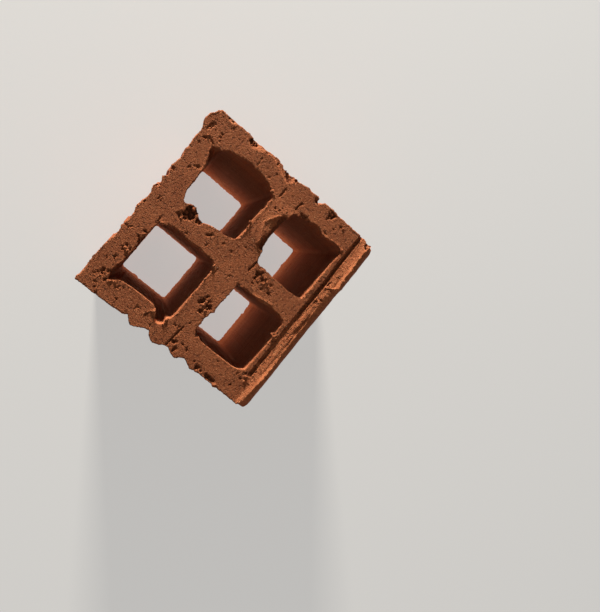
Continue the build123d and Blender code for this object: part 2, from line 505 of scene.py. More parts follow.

# %% [markdown]
# ## The relief of the cut face
#
# The cut face is a height field: one height for each place on it. Layers are added up, from the
# largest to the smallest. Most have a list of places and a function that turns the list into
# heights. A height field cannot overhang, but the torn rims above already do. Two helpers serve
# several layers: the distance from a bent line, and a test for points inside an outline.

# %% Helpers for places on the face
def line_distance(x, y, line):
    """Distance of each point from a line through several places."""
    nearest = np.full_like(x, FAR_AWAY)
    for (ax, ay), (bx, by) in zip(line, line[1:]):
        along = ((x - ax) * (bx - ax) + (y - ay) * (by - ay)) / ((bx - ax) ** 2 + (by - ay) ** 2)
        along = np.clip(along, 0, 1)
        away = np.hypot(x - ax - along * (bx - ax), y - ay - along * (by - ay))
        nearest = np.minimum(nearest, away)
    return nearest


def inside(points, loop):
    """Even-odd test of many points against one closed loop."""
    x, y = points.T
    hit = np.zeros(len(points), bool)
    for (ax, ay), (bx, by) in zip(loop, np.roll(loop, -1, axis=0)):
        if ay == by:
            continue
        hit ^= ((ay > y) != (by > y)) & (x < ax + (y - ay) * (bx - ax) / (by - ay))
    return hit


centre_point = np.zeros((1, 2))
around = [name for name, rim in top_rims.items() if inside(centre_point, rim)[0]]
print("the centre of the brick lies inside", around)

# %% [markdown]
# ## What the wire pushed about
#
# A wire does not only cut. It wiped two shallow scoops into the +Y rim, flat facets broke off
# beside them, and clay was heaped up in low ridges, mostly beside the cells. All of it could be
# sculpted by hand, but as formulas it stays small and can still be moved.

# %% Scoops
# middle x and y, half width along x and y, depth, height of the raised lip round it
SCOOPS = [
    (-33.5, 41.5, 2.6, 2.9, 0.9, 0.1),
    (-3.4, 39.2, 1.3, 2.6, 0.9, 0.1),
]


def scoop_relief(x, y):
    """Smooth hollows with a raised lip, where a flap of clay was wiped over a rim."""
    relief = np.zeros_like(x)
    for cx, cy, half_x, half_y, depth, lip in SCOOPS:
        reach = np.hypot((x - cx) / half_x, (y - cy) / half_y)
        reach = reach * (1 + 0.06 * clay_noise(x, y, 3.0, 5.0, 2))
        relief -= depth * np.clip(1 - reach, 0, None) ** 1.3 * 1.6
        relief += lip * np.exp(-(((reach - 1.03) / 0.09) ** 2))
    return relief


print(len(SCOOPS), "scoops")

# %% Facets
# two places on a line, how steeply the face falls to the left of it, and over what width
FACETS = [
    ((-22.4, 36.9), (-15.4, 39.7), 0.5, 4.0),
    ((-15.4, 39.5), (-9.8, 40.0), 0.3, 2.0),
    ((-4.7, 36.4), (-3.0, 40.5), 0.6, 1.2),
]


def facet_relief(x, y):
    """Flat facets where the rim broke away along a line."""
    relief = np.zeros_like(x)
    for (ax, ay), (bx, by), slope, width in FACETS:
        length = math.hypot(bx - ax, by - ay)
        past = ((bx - ax) * (y - ay) - (by - ay) * (x - ax)) / length
        along = ((bx - ax) * (x - ax) + (by - ay) * (y - ay)) / length
        within = soft_step((along + 0.3) / 0.6) * soft_step((length + 0.4 - along) / 0.8)
        past = np.clip(past + 0.2 * clay_noise(x, y, 4.0, 2.0, 3), 0, width)
        relief = np.minimum(relief, -slope * past * within)
    return relief


print(len(FACETS), "facets")

# %% Ridges
# places along the ridge, its width and height
RIDGES = [
    ([(-13.4, -34.9), (-12.5, -33.4), (-11.1, -31.4)], 0.6, 0.45),
    ([(-30.2, -33.6), (-29.9, -32.0), (-28.6, -31.0)], 0.6, 0.35),
    ([(-33.5, 26.6), (-31.4, 22.2), (-30.8, 18.0)], 0.5, 0.22),
    ([(-4.4, 9.0), (-4.2, 14.0), (-4.3, 27.0)], 0.5, 0.12),
    ([(18.6, 30.8), (20.5, 30.8), (22.0, 31.1), (24.0, 31.4), (26.0, 31.5), (27.6, 31.2)], 0.35, 0.2),
    ([(10.5, -4.7), (14.5, -3.7), (18.0, -3.0), (21.0, -2.6)], 0.5, 0.25),
]


def ridge_relief(x, y):
    """Low ridges along bent lines, where clay was pushed together."""
    relief = np.zeros_like(x)
    for line, width, tall in RIDGES:
        away = line_distance(x, y, line) + 0.1 * clay_noise(x, y, 6.0, 1.2, 2)
        bumpy = tall * (1 + 1.1 * clay_noise(x, y, 12.0, 1.4, 2))
        relief = np.maximum(relief, bumpy * np.exp(-((away / (0.6 * width)) ** 2)))
    return relief


print(len(RIDGES), "ridges")

# %% [markdown]
# ## What broke out of the face
#
# Grit and bits of root were pulled out and left pits. Where the clay crumbled there are larger
# holes, each with an outline of its own, and where it was bent there are cracks. All three give
# a depth, and later the deepest one wins, so that a pit inside a hole does not make it deeper.
# Their sides are steep and frayed by noise: a soft round dent would look like a thumb print.

# %% Pits
# x, y, radius and depth
PITS = [
    (-7.6, 3.6, 0.6, 0.7), (-33.4, 33.4, 0.4, 0.8), (-33.0, 32.2, 0.35, 0.7), (-32.5, 31.3, 0.3, 0.6),
    (-38.0, 25.9, 0.6, 0.7), (-33.7, 18.1, 0.4, 0.6), (-35.9, 0.8, 0.5, 0.6), (-39.3, 39.6, 0.5, 1.0),
    (-33.2, 39.8, 0.5, 0.9), (-35.0, 39.8, 0.5, 0.8), (16.4, 36.9, 0.6, 1.0), (13.2, 3.4, 0.5, 0.9),
    (16.0, 3.0, 0.6, 0.9), (17.2, 0.1, 0.7, 1.0), (14.0, -0.6, 0.5, 0.8), (9.8, -0.8, 0.6, 0.8),
    (11.4, 0.4, 0.5, 0.7), (1.6, -27.0, 0.4, 0.9), (7.1, -35.4, 0.6, 0.8), (12.0, -37.2, 0.5, 0.7),
    (-2.0, -31.0, 0.5, 0.8), (-38.2, -13.9, 0.3, 0.7), (-36.6, -13.0, 0.3, 0.6), (-37.2, -14.0, 0.25, 0.6),
    (-34.5, -20.6, 0.4, 0.8), (-36.3, -27.0, 0.5, 0.7), (-33.8, -32.8, 0.6, 1.1), (-35.4, -33.0, 0.5, 0.8),
    (-36.0, -34.2, 0.5, 0.8), (-34.0, -36.3, 0.6, 0.9), (-32.8, -38.0, 0.5, 0.8), (-31.4, -39.3, 0.6, 1.0),
    (-24.4, -36.7, 0.6, 1.1), (-26.5, -33.0, 0.5, 0.7), (-25.0, -31.9, 0.4, 0.5), (-23.5, -30.8, 0.4, 0.5),
    (-9.2, -36.5, 0.5, 1.0), (28.2, -35.7, 0.5, 0.9), (30.0, -28.9, 0.7, 1.1), (31.3, -30.2, 0.5, 0.9),
    (29.6, -31.6, 0.6, 0.9), (27.6, -30.6, 0.5, 0.7), (-20.4, -2.4, 0.4, 0.8), (29.5, 16.0, 0.4, 0.6),
    (21.0, 35.0, 0.4, 0.6), (0.4, 26.4, 0.4, 0.6), (-1.4, 26.1, 0.4, 0.7), (-13.5, -3.5, 0.4, 0.9),
    (-8.6, -3.6, 0.4, 0.9), (9.7, 6.1, 0.4, 0.9), (-3.5, 3.0, 0.4, 0.5), (-0.6, 7.7, 0.4, 0.6),
    (-16.8, 36.6, 0.3, 0.4), (-13.0, 35.4, 0.3, 0.4), (-27.3, 36.2, 0.3, 0.4), (-36.1, 33.0, 0.3, 0.4),
    (-17.0, 39.7, 0.6, 0.9), (-11.2, 39.2, 0.5, 0.9), (-8.8, 36.0, 0.4, 0.6), (-10.4, 33.4, 0.4, 0.5),
    (33.4, 9.4, 0.5, 1.0), (34.8, 11.0, 0.5, 1.0), (34.4, 22.0, 0.4, 0.5), (34.3, -25.3, 0.4, 0.5),
    (33.6, -31.6, 0.4, 0.7), (-38.9, -3.3, 0.5, 0.9), (-34.8, 0.6, 0.4, 0.6), (-0.5, -30.6, 0.5, 0.6),
    (4.6, -34.8, 0.5, 0.8), (-16.4, -34.2, 0.4, 0.5), (18.8, -31.6, 0.5, 0.8), (16.0, -38.4, 0.5, 0.7),
]
# the share of its listed radius that a pit gets
PIT_SIZE = 0.85


def pit_depth(x, y):
    """Ragged pits with steep sides and crumbs in them; 0 where there is none."""
    depth = np.zeros_like(x)
    for cx, cy, half_width, deep in PITS:
        radius = PIT_SIZE * half_width
        near = np.hypot(x - cx, y - cy) < 2.2 * radius
        dx, dy = x[near] - cx, y[near] - cy
        ragged = 1 + 0.8 * clay_noise(x[near], y[near], deep, radius, 3, calm=0.4)
        reach = np.hypot(dx, dy) / (radius * np.clip(ragged, 0.3, None))
        crumbs = 1 + 0.6 * clay_noise(x[near], y[near], 9.0, 0.8, 2)
        depth[near] = np.maximum(depth[near], deep * soft_step((1.0 - reach) * 4) * crumbs)
    return depth


print(len(PITS), "pits, the deepest", max(deep for *_, deep in PITS), "mm")

# %% Holes
# outlines of the larger holes, and how deep they are
HOLES = [
    ([(-26.0, 5.9), (-24.6, 6.6), (-24.4, 8.0), (-21.6, 7.4), (-21.8, 5.2), (-21.8, 3.0),
      (-22.2, 1.9), (-23.2, 1.5), (-24.2, 1.0), (-25.2, 1.3), (-25.9, 2.2), (-26.1, 4.0)], 3.4),
    ([(-27.3, 1.5), (-26.5, 1.7), (-25.9, 0.9), (-25.5, 0.1), (-26.3, 0.0), (-27.0, 0.7)], 1.6),
    ([(-20.9, 6.0), (-20.8, 3.6), (-20.2, 2.9), (-19.2, 2.8), (-18.4, 3.2), (-18.2, 4.2),
      (-18.0, 6.0)], 2.8),
    ([(-24.4, 39.8), (-24.4, 38.6), (-23.6, 38.2), (-21.8, 38.3), (-21.0, 38.9), (-20.8, 39.8),
      (-22.5, 40.0)], 2.8),
    ([(-2.8, 40.0), (-2.5, 38.8), (-1.9, 38.3), (-1.3, 38.5), (-1.1, 40.0)], 1.5),
    ([(8.0, 39.8), (8.2, 38.9), (9.0, 38.0), (10.0, 37.9), (10.6, 38.4), (10.2, 39.4),
      (9.0, 40.2)], 1.8),
    ([(15.0, 39.5), (15.4, 38.2), (16.6, 37.3), (17.6, 37.2), (18.4, 38.0), (18.6, 39.4),
      (17.6, 40.0), (16.4, 39.9)], 1.7),
    ([(33.8, 40.4), (34.4, 39.2), (34.9, 38.0), (35.7, 36.8), (36.0, 37.8), (36.0, 38.8),
      (36.0, 40.4)], 3.4),
    ([(-34.8, -30.7), (-34.1, -30.4), (-33.7, -31.5), (-34.2, -32.4), (-34.9, -32.0)], 1.4),
    ([(-33.1, -30.1), (-32.0, -29.7), (-31.9, -30.9), (-32.9, -31.3)], 1.6),
    ([(-32.3, -33.8), (-31.6, -32.7), (-30.9, -33.2), (-31.1, -34.2), (-31.8, -34.4)], 1.8),
    ([(-0.6, -16.5), (0.5, -16.7), (0.6, -17.8), (0.0, -18.8), (-0.5, -19.5), (-1.5, -19.0),
      (-1.0, -18.0)], 2.2),
    ([(2.6, -17.2), (3.7, -17.1), (4.4, -17.9), (4.3, -18.7), (3.3, -19.5), (2.2, -19.3),
      (2.0, -18.3)], 2.4),
    ([(1.9, -15.8), (2.7, -16.0), (2.3, -16.9), (1.9, -17.7), (1.5, -16.8)], 1.4),
    ([(1.1, -20.5), (2.4, -20.1), (2.7, -21.0), (2.0, -22.0), (1.0, -21.9)], 1.7),
    ([(-0.2, -14.8), (0.8, -14.8), (0.7, -15.6), (0.2, -16.3), (-0.2, -15.6)], 1.3),
    ([(8.3, 3.9), (9.5, 4.1), (10.7, 4.4), (10.4, 3.4), (9.9, 2.4), (9.9, 0.9), (9.2, 0.8),
      (9.1, 2.2)], 2.2),
    ([(11.6, 3.1), (12.5, 3.0), (12.8, 2.2), (12.0, 1.8), (11.4, 2.3)], 1.2),
    ([(-32.8, 36.4), (-32.2, 37.6), (-31.4, 38.4), (-30.9, 38.0), (-31.9, 37.3),
      (-32.4, 36.4)], 0.35),
    ([(-37.9, 28.8), (-37.0, 29.2), (-36.4, 28.6), (-36.9, 28.0), (-37.8, 28.1)], 1.3),
    ([(-13.4, 3.7), (-12.7, 3.3), (-12.9, 2.5), (-13.6, 2.1), (-14.6, 1.6), (-14.2, 2.3),
      (-13.6, 2.9)], 1.5),
    ([(-12.5, -0.5), (-11.9, -0.4), (-11.9, -1.0), (-12.2, -1.7), (-12.5, -1.2)], 1.2),
    ([(18.1, -37.9), (20.0, -37.8), (22.6, -38.0), (22.9, -38.6), (22.0, -39.5), (20.4, -39.6),
      (18.8, -39.4), (18.0, -38.8)], 1.5),
    ([(13.6, -37.5), (14.8, -37.4), (14.7, -38.6), (14.0, -39.4), (13.3, -38.8)], 1.5),
    ([(2.9, -37.0), (3.8, -37.2), (3.6, -38.6), (3.2, -39.4), (2.5, -38.6)], 1.4),
    ([(0.6, -36.2), (1.5, -34.9), (2.4, -35.3), (2.2, -36.2), (1.3, -36.9)], 1.5),
    ([(22.2, 38.0), (23.1, 38.0), (23.4, 37.3), (22.5, 36.9)], 1.1),
    ([(-39.9, 5.4), (-39.0, 5.9), (-38.3, 4.9), (-38.5, 4.0), (-39.4, 3.7)], 1.5),
    ([(-39.3, 12.8), (-38.2, 12.9), (-38.0, 12.1), (-39.0, 11.8)], 0.9),
    ([(7.4, 31.2), (7.8, 30.5), (9.0, 30.0), (11.2, 30.1), (12.0, 30.9), (11.0, 31.4),
      (9.0, 31.6)], 1.6),
    ([(-33.2, 18.8), (-32.4, 19.3), (-31.8, 18.9), (-32.3, 18.2), (-33.0, 18.2)], 1.1),
    ([(-35.1, 17.0), (-34.3, 17.2), (-34.2, 16.5), (-35.0, 16.2)], 1.1),
    ([(33.0, 18.6), (33.4, 18.2), (33.4, 17.0), (33.0, 16.6)], 1.0),
    ([(-34.2, -24.0), (-33.7, -24.6), (-34.0, -25.8), (-34.7, -25.4)], 1.4),
    ([(-33.9, -19.0), (-33.4, -18.9), (-33.3, -19.8), (-33.9, -19.8)], 1.2),
    ([(-32.3, -19.2), (-31.4, -19.6), (-31.5, -20.4), (-32.2, -20.0)], 1.2),
    ([(-34.3, -20.9), (-33.4, -21.2), (-33.4, -21.9), (-34.1, -21.9)], 1.2),
    ([(-32.0, -21.6), (-31.2, -22.0), (-31.3, -23.0), (-31.9, -22.8)], 1.3),
    ([(-32.6, -11.2), (-31.6, -11.0), (-31.3, -11.6), (-32.2, -12.0)], 1.2),
]
# how far inside its outline a hole reaches its floor
HOLE_FLANK = 0.35


def hole_depth(x, y):
    """Steep-sided holes inside given outlines, with an uneven floor."""
    depth = np.zeros_like(x)
    for outline, deep in HOLES:
        corners = np.array(outline)
        centre = corners.mean(axis=0)
        near = np.hypot(x - centre[0], y - centre[1]) < np.ptp(corners, axis=0).max() * 0.8 + 1
        px, py = x[near], y[near]
        within = line_distance(px, py, outline + outline[:1])
        within = np.where(inside(np.column_stack([px, py]), corners), within, -within)
        within = within + 0.35 * clay_noise(px, py, deep, 0.9, 3, calm=0.4)
        floor_level = deep * (1 + 0.6 * clay_noise(px, py, 9.0, 1.0, 3, calm=0.5))
        flank = soft_step((within + 0.05) / HOLE_FLANK)
        depth[near] = np.maximum(depth[near], floor_level * flank)
    return depth


print(len(HOLES), "holes, the deepest", max(deep for _, deep in HOLES), "mm")

# %% Cracks
# places along the crack, its width and depth
CRACKS = [
    ([(-2.9, 30.3), (-2.9, 32.0), (-2.9, 34.4)], 0.3, 1.3),
    ([(4.9, 30.8), (4.9, 33.0), (5.4, 34.3)], 0.35, 1.4),
    ([(6.3, 6.4), (6.2, 4.5), (5.8, 2.2)], 0.45, 1.4),
    ([(0.6, -29.6), (0.3, -33.0), (-0.1, -38.5)], 0.42, 1.4),
    ([(1.6, -4.2), (1.4, -5.0)], 0.3, 0.7),
    ([(-36.8, 30.0), (-35.2, 29.3), (-33.8, 28.7)], 0.25, 1.0),
    ([(-8.6, 40.2), (-6.6, 39.3), (-5.4, 38.2), (-4.3, 36.9)], 1.0, 2.4),
    ([(-12.8, -35.0), (-12.9, -34.2), (-12.1, -32.8)], 0.4, 0.9),
    ([(-16.7, 35.4), (-16.5, 34.0)], 0.25, 0.3),
    ([(-16.9, -33.6), (-17.0, -35.4)], 0.3, 0.5),
    ([(-3.4, -5.0), (-3.3, -7.0)], 0.35, 0.4),
    ([(-38.0, 34.9), (-38.5, 33.9), (-38.6, 32.3), (-38.8, 31.4)], 0.45, 0.8),
    ([(-37.5, 34.6), (-37.8, 33.4), (-37.7, 32.6)], 0.4, 0.6),
    ([(-32.7, -14.0), (-31.9, -14.8), (-31.1, -15.9)], 0.6, 1.4),
    ([(-31.0, -3.6), (-30.8, -5.0), (-31.0, -6.4)], 0.3, 0.7),
    ([(18.2, 31.9), (20.2, 31.5)], 0.3, 0.4),
    ([(16.9, 37.0), (16.4, 36.1)], 0.4, 0.9),
    ([(-38.8, -13.8), (-37.6, -13.8), (-36.4, -13.1)], 0.2, 0.4),
    ([(-27.6, 0.8), (-26.6, 1.2)], 0.5, 0.9),
    ([(-35.8, 2.0), (-35.8, 0.6)], 0.4, 0.6),
]


def crack_depth(x, y):
    """Narrow grooves along short bent lines."""
    depth = np.zeros_like(x)
    wander = 0.1 * clay_noise(x, y, 3.0, 1.2, 3, calm=0.5)
    for line, width, deep in CRACKS:
        away = np.clip(line_distance(x, y, line) + wander, 0, None)
        depth = np.maximum(depth, deep * np.exp(-((away / (0.42 * width)) ** 4)))
    return depth


print(len(CRACKS), "cracks")

# %% [markdown]
# ## The flap on the web
#
# On the web between the two back cells the wire smeared clay towards +X. The smear ends in a
# ragged edge that stands up a little and catches the light, and behind the edge the web broke
# off into the cell. The edge is a bent line, read off between stations along Y. A loose sheet of
# mesh could hang free there, but then the brick would no longer be one closed mesh.

# %% Flap
# stations along the flap: y, the x of its edge, and how far the edge stands up
FLAP = [
    (11.0, 1.2, 0.05), (12.0, 1.5, 0.2), (13.0, 1.7, 0.28), (14.0, 1.5, 0.28), (16.0, 0.3, 0.24),
    (17.5, -0.4, 0.22), (19.2, -1.1, 0.22), (20.5, -0.9, 0.22), (21.5, -0.4, 0.25),
    (22.5, 0.3, 0.3), (23.5, 0.8, 0.32), (24.6, 1.4, 0.25), (25.3, 2.1, 0.18), (26.0, 3.4, 0.05),
]
FLAP_Y, FLAP_X, FLAP_TALL = zip(*FLAP)
# everything beyond this x belongs to the other side of the cell
FLAP_PAST_X = 8
# height of the smear, slope of the face behind its edge, and how deep the web broke off
FLAP_RISE = 0.4
FLAP_TILT = 0.06
FLAP_FALL = 4.2


def flap_share(x, y):
    """1 along the flap, fading out past its two ends."""
    in_reach = soft_step((y - 10.5) / 1.5) * soft_step((26.6 - y) / 1.2)
    return (x < FLAP_PAST_X) * in_reach


def flap_relief(x, y):
    """The smear of clay, its raised edge and the grainy slope behind the edge."""
    along = np.interp(y, FLAP_Y, FLAP_X)
    behind = x - along - 0.12 * clay_noise(x, y, 5.0, 1.8, 3)
    smear = FLAP_RISE * soft_step((x + 6.5) / 8.0)
    smear = smear * soft_step((y - 8.0) / 6.0) * soft_step((31.0 - y) / 5.0)
    edge = np.interp(y, FLAP_Y, FLAP_TALL) * np.exp(-((np.clip(-behind, 0, None) / 0.45) ** 2))
    edge = edge * np.exp(-np.clip(behind, 0, None) / 0.7)
    behind_edge = np.clip(behind, 0, 4)
    grainy = 0.12 * soft_step(behind) * clay_noise(x, y, 25.0, 0.9, 3, calm=0.4)
    return smear + flap_share(x, y) * (edge + grainy - FLAP_TILT * behind_edge)


def flap_fall(x, y):
    """How deep the clay behind the flap broke off into the cell."""
    broken = x - 2.3 - 0.6 * clay_noise(x, y, 15.0, 1.3, 3, calm=0.5)
    return flap_share(x, y) * FLAP_FALL * np.clip(broken / 2.1, 0, 1) ** 0.9


print("flap", FLAP_Y[-1] - FLAP_Y[0], "mm long")

# %% [markdown]
# ## The split skin
#
# Along the +X side the wire caught the outer skin of the brick and peeled it a little: there is
# a dark crease, and outside it a lip that rises to a crest. Across the side it is a short
# formula. Along the side it changes from place to place, so each of its sizes is a list of
# stations, a y with its value, and what lies between two stations is read off.

# %% Crease
CREASE_X = 31.5
CREASE_HALF = 0.75
CREASE_DEPTH = 3.2
# how far the crease strays towards +X, and how open it is
CREASE_DRIFT = [(-27, 0.2), (14, 0.2), (20, 0.1), (26, -0.1), (34, -0.1), (40, -0.1)]
CREASE_OPEN = [
    (-40, 0), (-29, 0), (-28, 0.3), (-27, 0.9), (-24.4, 0.9), (-24, 0.2), (-22.4, 0.2),
    (-21, 0.9), (-17, 0.8), (-16, 0.2), (1, 0.3), (4, 0.9), (14, 1.0), (39, 1.0), (40, 0.4),
]


def read_off(y, stations):
    """The value at each y, between stations that are pairs of a y and a value."""
    return np.interp(y, *zip(*stations))


def crease_drift(y):
    """How far the crease and the start of the lip stray from their line."""
    wander = 0.12 * clay_noise(2.0, y, 5.0, 6.0, 3)
    return wander + read_off(y, CREASE_DRIFT)


def crease_relief(x, y):
    """A dark slit with steep flanks; 0 outside it."""
    across = np.abs(x - CREASE_X - crease_drift(y)) / CREASE_HALF
    return -CREASE_DEPTH * read_off(y, CREASE_OPEN) * soft_step((1.12 - across) * 2.5)


print("crease", CREASE_DEPTH, "mm deep, fully open from y", *[y for y, share in CREASE_OPEN if share == 1])

# %% Lip
LIP_START = 32.35
LIP_BREAK = 34.6
# height at its start, slope up to LIP_BREAK, and height of the burr beside the crease
LIP_SUNK = -0.25
LIP_SLOPE = 0.31
LIP_BURR = 0.16
# how much of the lip's rise there is, where its outer flank starts and how steep that is
LIP_SHARE = [(-40, 0.3), (-36, 0.6), (-31, 1.2)]
FLANK_START = [
    (-38, 33.8), (-30, 34.4), (-24, 35.3), (18, 35.6), (22, 35.2), (26, 34.8), (32, 34.5),
    (38, 34.2),
]
FLANK_SHARE = [
    (-40, 0.6), (-36, 0.8), (-20, 0.9), (-6, 0.6), (4, 0.3), (14, 0.2), (18, 1.0), (28, 1.0),
    (41, 0.9),
]
FLANK_SLOPE = 1.1
# the part of the flank that is gone below the fold
FLANK_TORN = [(-24, 0.0), (-18, 0.6), (2, 0.7), (10, 1.0)]
# a place on the fold that runs slantwise over the lip, and how much it climbs in y along x
FOLD_AT = (33.4, 16.2)
FOLD_SLOPE = 0.6


def past_fold(x, y):
    """Distance to the upper side of the fold that runs slantwise over the lip."""
    return y - FOLD_AT[1] - (x - FOLD_AT[0]) * FOLD_SLOPE


def lip_rise(x, y, below_fold):
    """Height of the lip: it climbs from the crease, and then more steeply up its flank."""
    rise = LIP_SUNK + LIP_SLOPE * np.clip(x - LIP_START, 0, LIP_BREAK - LIP_START)
    rise = rise + LIP_BURR * np.exp(-(((x - LIP_START - crease_drift(y) - 0.15) / 0.22) ** 2))
    flank = FLANK_SLOPE * np.clip(x - read_off(y, FLANK_START), 0, None)
    torn_away = below_fold * read_off(y, FLANK_TORN)
    return rise * read_off(y, LIP_SHARE) + flank * read_off(y, FLANK_SHARE) * (1 - torn_away)


print("lip from x", LIP_START, "to its flank at x", max(start for _, start in FLANK_START))

# %% Skin round the crease and over the lip
# where the lip is rough, and where shreds of clay stand up on it
LIP_ROUGH = [(6, 0), (10, 1), (19, 1)]
LIP_SHREDS = [(-13, 0), (-8, 0.9), (4, 0.9), (9, 0.3), (12, 0)]


def split_skin(x, y):
    """Height of the crease and of the lip outside it, with its fold, shreds and streaks."""
    on_lip = soft_step((x - LIP_START - crease_drift(y) + 0.3) / 0.3)
    below_fold = 1 - soft_step(past_fold(x, y) / 0.4)
    relief = crease_relief(x, y) + on_lip * lip_rise(x, y, below_fold)
    fold_ridge = 0.35 * np.exp(-((past_fold(x, y) / 0.3) ** 2)) + 0.25 * below_fold
    relief += fold_ridge * on_lip * soft_step((y - 6) / 4)
    rough_lip = below_fold * read_off(y, LIP_ROUGH)
    relief += rough_lip * on_lip * 0.18 * clay_noise(x, y, 8.0, 1.3, 3, calm=0.6)
    streaks = 0.05 * clay_noise(x * 2.5, y * 0.12, 6.0, 1.0, 2)
    shreds = read_off(y, LIP_SHREDS) * 0.7 * clay_noise(x * 2.2, y * 0.35, 3.0, 2.2, 3)
    return relief + on_lip * (streaks + shreds)


lip_x = np.array([33.0, 34.5, 36.0])
print("heights across the lip", np.round(split_skin(lip_x, np.full_like(lip_x, 25.0)), 2))

# %% [markdown]
# ## Worn and crisp rims
#
# A rim of soft clay is rounded and chipped, and here and there a thin burr stands up beside it.
# Two lines of rims, at the -Y ends of the cells, stayed crisp, because there the wire left the
# clay. Rounding means that the face falls away close to its rim, so it needs nothing but each
# point's distance from the nearest rim.

# %% Rims
# radius of a worn rim, of the rim of the lip, and the least that a rim has
RIM_ROUND = 0.2
LIP_ROUND = 0.35
LEAST_ROUND = 0.02
# from this x on a rim belongs to the lip
LIP_EDGE_X = 35.0
# height of the burr
BURR = 0.07
# the y of the crisp rims, the width of the strip round it and how much roundness they lose
CRISP_RIMS = [-30.0, 6.0]
CRISP_WIDTH = 1.4
CRISPNESS = 0.85


def worn_share(y):
    """1 on a worn rim, near 0 on the crisp ones, where the wire left the clay."""
    share = np.ones_like(y)
    for rim_y in CRISP_RIMS:
        share = share * (1 - CRISPNESS * np.exp(-(((y - rim_y) / CRISP_WIDTH) ** 2)))
    return share


def rim_radius(x, y):
    """How round the rim is: chipped in places, and hardly at all where it is crisp."""
    chipped = np.clip(clay_noise(x, y, 20.0, 1.1, 3, calm=0.4), -0.4, 1.5)
    radius = RIM_ROUND * (1.0 + 1.6 * chipped) * worn_share(y)
    over_lip = soft_step((x - LIP_EDGE_X) / 1.0)
    return np.clip(radius + (LIP_ROUND - radius) * over_lip, LEAST_ROUND, None)


def rounding(to_rim, radius):
    """How far a worn rim of that radius falls away at a distance from it."""
    inward = np.clip(1 - to_rim / radius, 0, 1)
    return radius * (1 - np.sqrt(1 - inward**2))


def burr_relief(x, y, to_rim):
    """A thin burr that stands up here and there just inside a rim."""
    share = soft_step(clay_noise(x, y, 40.0, 7.0, 2) * 2.5) * worn_share(y)
    return BURR * share * np.exp(-(((to_rim - 0.3) / 0.25) ** 2))


print("a worn rim", RIM_ROUND, "mm round, a crisp one", round(RIM_ROUND * (1 - CRISPNESS), 2), "mm")

# %% [markdown]
# ## Rough patches and crumbs
#
# Plain cut clay is only a little uneven. Where it crumbled it is rougher, and loose crumbs lie on
# it and in its holes. A patch raises the strength of the two finest layers of noise. A crumb
# is a dome, and it comes last, because it lies on top of all that was added before.

# %% Rough patches
# x, y, radius and how much rougher than the rest
ROUGH_PATCHES = [
    (-33.2, -22.0, 2.6, 1.6),
    (-34.3, -33.5, 4.8, 2.2),
    (12.0, 2.0, 6.0, 2.0),
    (2.0, -18.5, 4.5, 2.0),
    (-12.5, 2.0, 3.5, 1.2),
    (3.0, 27.6, 2.5, 1.2),
    (3.0, -36.5, 4.0, 1.4),
    (17.0, 38.0, 2.5, 1.5),
    (30.0, -30.5, 2.5, 1.6),
    (-24.0, 3.5, 4.5, 1.6),
    (-38.2, 33.4, 1.8, 0.8),
    (3.2, 18.0, 1.8, 1.5),
    (-32.0, -10.8, 1.8, 1.4),
    (9.5, 38.6, 2.0, 1.2),
    (10.0, 31.0, 2.0, 1.2),
]
# how strongly all patches act
PATCH = 1.6


def roughness_at(x, y):
    """1 on plain cut clay, more where it crumbled."""
    rough = np.ones_like(x)
    for cx, cy, radius, more in ROUGH_PATCHES:
        rough += PATCH * more * np.exp(-(((x - cx) ** 2 + (y - cy) ** 2) / radius**2))
    return rough


print(len(ROUGH_PATCHES), "rough patches")

